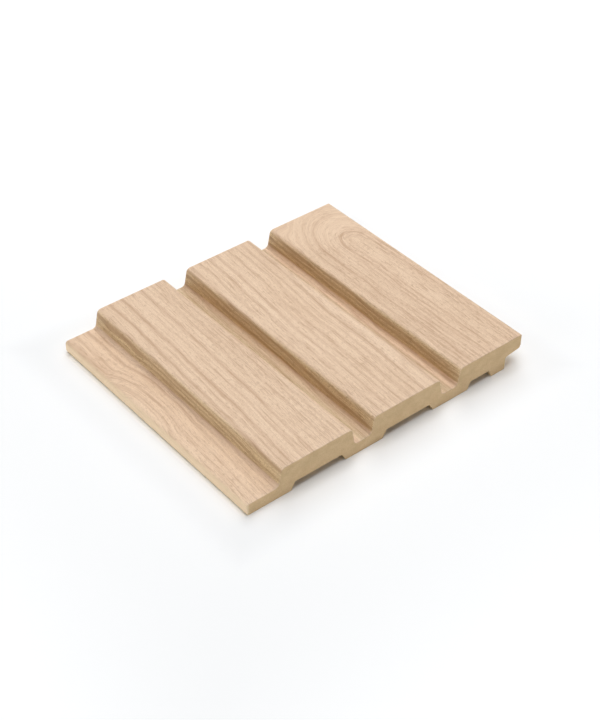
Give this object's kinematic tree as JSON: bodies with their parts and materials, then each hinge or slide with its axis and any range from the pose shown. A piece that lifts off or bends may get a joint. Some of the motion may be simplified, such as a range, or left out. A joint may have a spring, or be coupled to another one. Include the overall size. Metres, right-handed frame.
{
  "type": "fluted wall panel",
  "caption": "Cut sample of a fluted wall panel with flat ribs, rounded flutes and lapped edges: a fibreboard core wrapped in wood-grain film.",
  "frame": {"origin": "under the middle of the panel, on the plane of its back feet", "axes": "+Z out of the decorative face, +X across the width from the lap flange to the lap lip, Y along the ribs"},
  "size_m": [0.122, 0.104, 0.012],
  "materials": {
    "fibreboard": "bare, fine sawn fibre",
    "wood_grain_film": "matt, pale oak grain along the ribs"
  },
  "bodies": {
    "root": {"mdf_core": "fibreboard", "decor_film": "wood_grain_film"}
  },
  "joints": []
}
